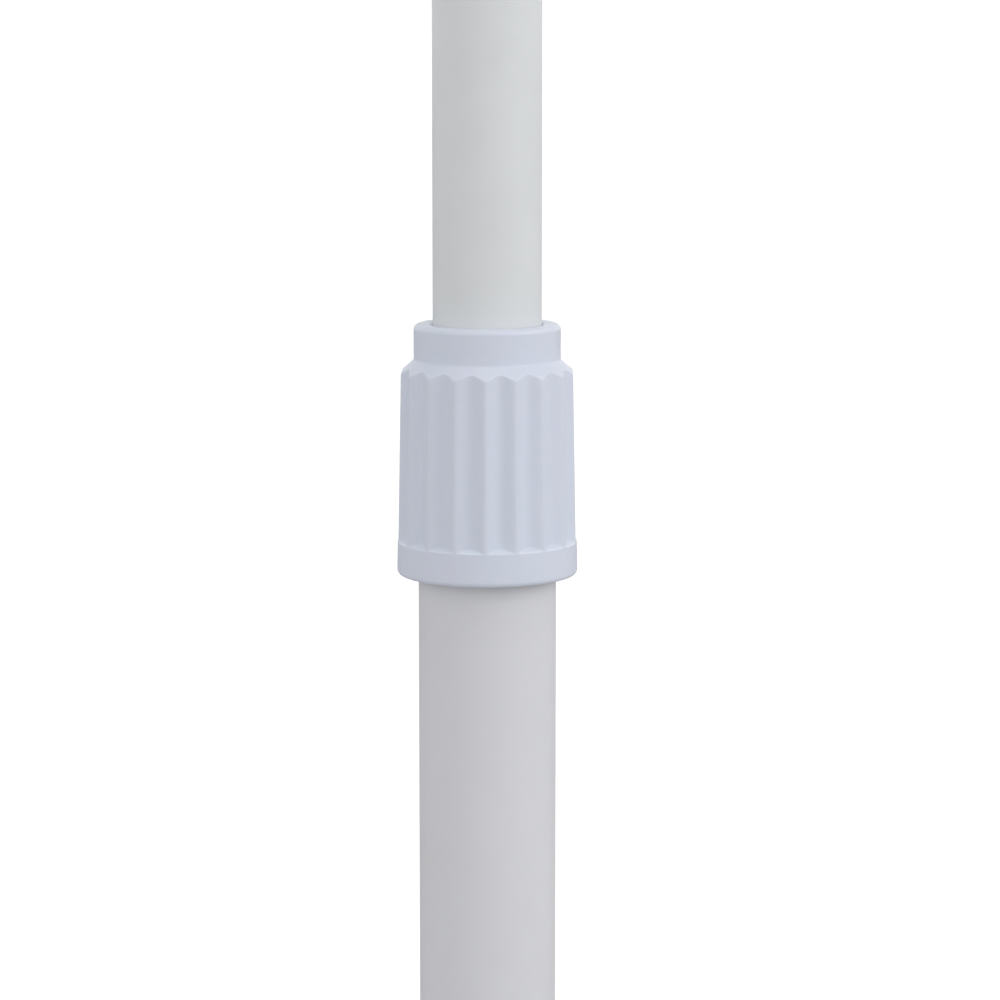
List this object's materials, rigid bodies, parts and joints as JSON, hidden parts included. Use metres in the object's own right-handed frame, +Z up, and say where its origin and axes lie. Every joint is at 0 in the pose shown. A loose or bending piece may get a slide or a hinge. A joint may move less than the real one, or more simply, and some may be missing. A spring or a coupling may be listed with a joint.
{
  "type": "arc floor lamp",
  "caption": "White floor lamp with a round weighted base, a telescopic mast locked by a ribbed twist collar, and a bowed arm holding a tilting dome shade.",
  "frame": {"origin": "centre of the base's underside, on the floor", "axes": "+Z up along the mast; the arm reaches towards +X; the shade tilts about an axis along Y"},
  "size_m": [1.1167, 0.29, 1.7895],
  "materials": {
    "white_paint": "satin white powder coat",
    "white_aluminium": "satin white powder coat on spun sheet",
    "collar_plastic": "satin moulded, cool white",
    "white_plastic": "satin moulded",
    "black_plastic": "matte moulded",
    "acetal": "waxy natural",
    "plated_steel": "bright zinc plate",
    "contact_brass": "plain brass",
    "ballast_iron": "as cast, black primer",
    "pad_rubber": "matte",
    "opal_glass": "opal"
  },
  "bodies": {
    "base": {"base_pad": "pad_rubber", "base_weight": "ballast_iron", "base_cover": "white_paint", "base_nut": "plated_steel", "base_washer": "plated_steel", "mast_stud": "plated_steel", "flex_gland": "black_plastic", "foot_ring": "white_paint", "lower_tube_plug": "plated_steel", "lower_tube": "white_paint", "lock_ferrule": "black_plastic", "lock_collet": "acetal"},
    "lock_ring": {"lock_ring": "acetal"},
    "lock_collar": {"lock_collar": "collar_plastic"},
    "guide": {"guide_bush": "acetal"},
    "mast": {"upper_tube": "white_paint", "clip_lower": "plated_steel", "clip_upper": "plated_steel", "flex_liner": "black_plastic", "arm_coupler": "white_paint", "coupler_screw": "plated_steel", "arm_tube_lower": "white_paint", "arm_joiner": "plated_steel", "arm_tube_upper": "white_paint", "tilt_fork": "white_paint", "pivot_bolt": "plated_steel", "friction_disc_left": "acetal", "friction_disc_right": "acetal"},
    "knob": {"tilt_knob": "black_plastic"},
    "shade": {"shade_eye": "white_paint", "eye_nut": "plated_steel", "holder_cap": "white_plastic", "holder_shell": "white_plastic", "terminal_block": "white_plastic", "holder_sleeve": "contact_brass", "centre_contact": "contact_brass", "shade": "white_aluminium", "shade_ring": "white_plastic", "bulb_cap": "plated_steel", "bulb_globe": "opal_glass"}
  },
  "joints": [
    {"name": "ring_travel", "type": "slide", "parent": "base", "child": "lock_ring", "axis": [0, 0, 1], "range_m": [0, 0.00226]},
    {"name": "collar_twist", "type": "hinge", "parent": "lock_ring", "child": "lock_collar", "pos_m": [0, 0, 0.7], "axis": [0, 0, 1], "range_deg": [0, 270]},
    {"name": "height_slide", "type": "slide", "parent": "base", "child": "guide", "axis": [0, 0, 1], "range_m": [-0.35, 0.2]},
    {"name": "arm_swing", "type": "hinge", "parent": "guide", "child": "mast", "pos_m": [0, 0, 0.5], "axis": [0, 0, 1], "range_deg": [-175, 175]},
    {"name": "knob_turn", "type": "hinge", "parent": "mast", "child": "knob", "pos_m": [0.82901, 0, 1.51179], "axis": [0, -1, 0], "range_deg": [0, 180]},
    {"name": "shade_tilt", "type": "hinge", "parent": "mast", "child": "shade", "pos_m": [0.82901, 0, 1.51179], "axis": [0, 1, 0], "range_deg": [-45, 60]}
  ],
  "couplings": [
    {"joint": "ring_travel", "follows": "collar_twist", "m_per_rad": 0.00047746}
  ]
}
